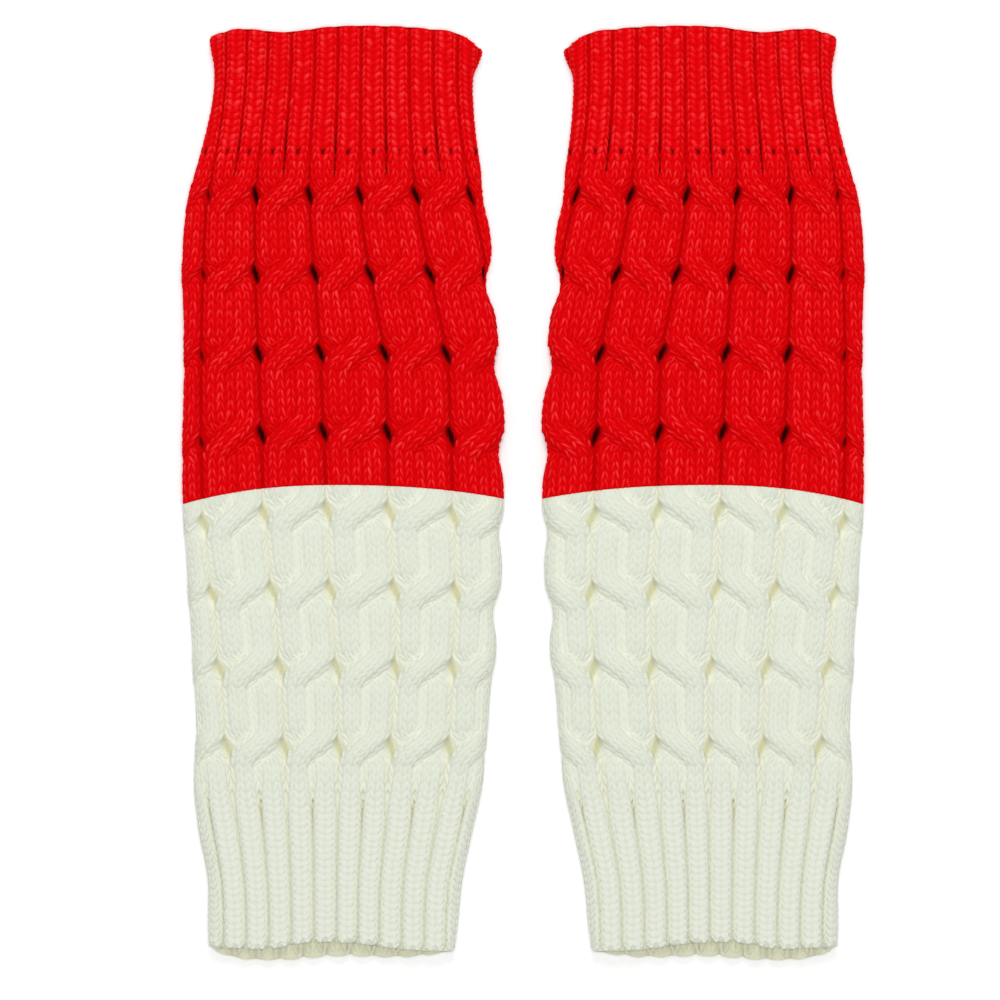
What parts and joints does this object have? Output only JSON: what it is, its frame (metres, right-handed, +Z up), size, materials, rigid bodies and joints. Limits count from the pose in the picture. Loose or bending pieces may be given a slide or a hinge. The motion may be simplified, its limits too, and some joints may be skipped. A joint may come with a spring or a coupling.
{
  "type": "pair of leg warmers",
  "caption": "Pair of cable-knit leg warmers with ribbed cuffs, red above and cream below, laid flat side by side as knitted tubes that keep the lower legs warm",
  "frame": {"origin": "centre of the pair's bounding box on the surface it lies on", "axes": "+X across the pair to the right leg warmer, +Y along the legs to the wide top cuffs, +Z up out of the front panels"},
  "size_m": [0.2954, 0.4012, 0.0109],
  "materials": {
    "red_yarn": "soft matt acrylic yarn, knitted, with a light fuzz",
    "cream_yarn": "soft matt acrylic yarn, knitted, with a light fuzz"
  },
  "bodies": {
    "root": {"left_top_cuff": "red_yarn", "left_upper_leg": "red_yarn", "left_lower_leg": "cream_yarn", "left_bottom_cuff": "cream_yarn", "right_top_cuff": "red_yarn", "right_upper_leg": "red_yarn", "right_lower_leg": "cream_yarn", "right_bottom_cuff": "cream_yarn"}
  },
  "joints": []
}
